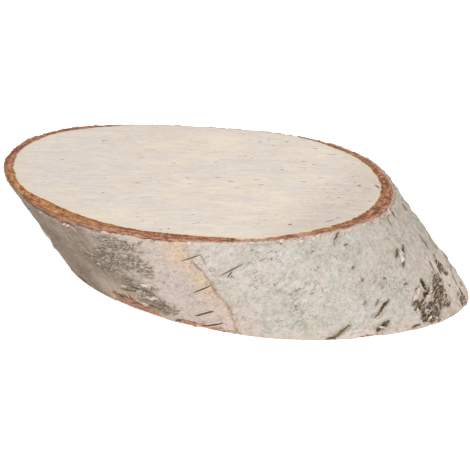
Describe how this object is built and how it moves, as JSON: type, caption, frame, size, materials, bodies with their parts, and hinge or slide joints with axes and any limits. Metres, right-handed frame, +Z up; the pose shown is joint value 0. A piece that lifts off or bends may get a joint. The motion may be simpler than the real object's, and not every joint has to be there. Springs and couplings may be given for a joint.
{
  "type": "birch wood slice",
  "caption": "Oval slab sawn aslant from a birch branch, with pale flat sawn faces, a brown rim of inner bark and a slanted white bark wall.",
  "frame": {"origin": "under the middle of the slab's box, on the surface that the slab rests on", "axes": "+Z up, from the underside to the sawn top face; +X along the slab's longest way, towards the end where the bark wall runs out under the top face"},
  "size_m": [0.1682, 0.1076, 0.03],
  "materials": {
    "white_bark": "papery white birch bark with darker cracks and lenticels",
    "cut_wood": "pale unvarnished sawn birch",
    "inner_bark": "rough orange-brown inner bark"
  },
  "bodies": {
    "root": {"birch_slice": "white_bark"}
  },
  "joints": []
}
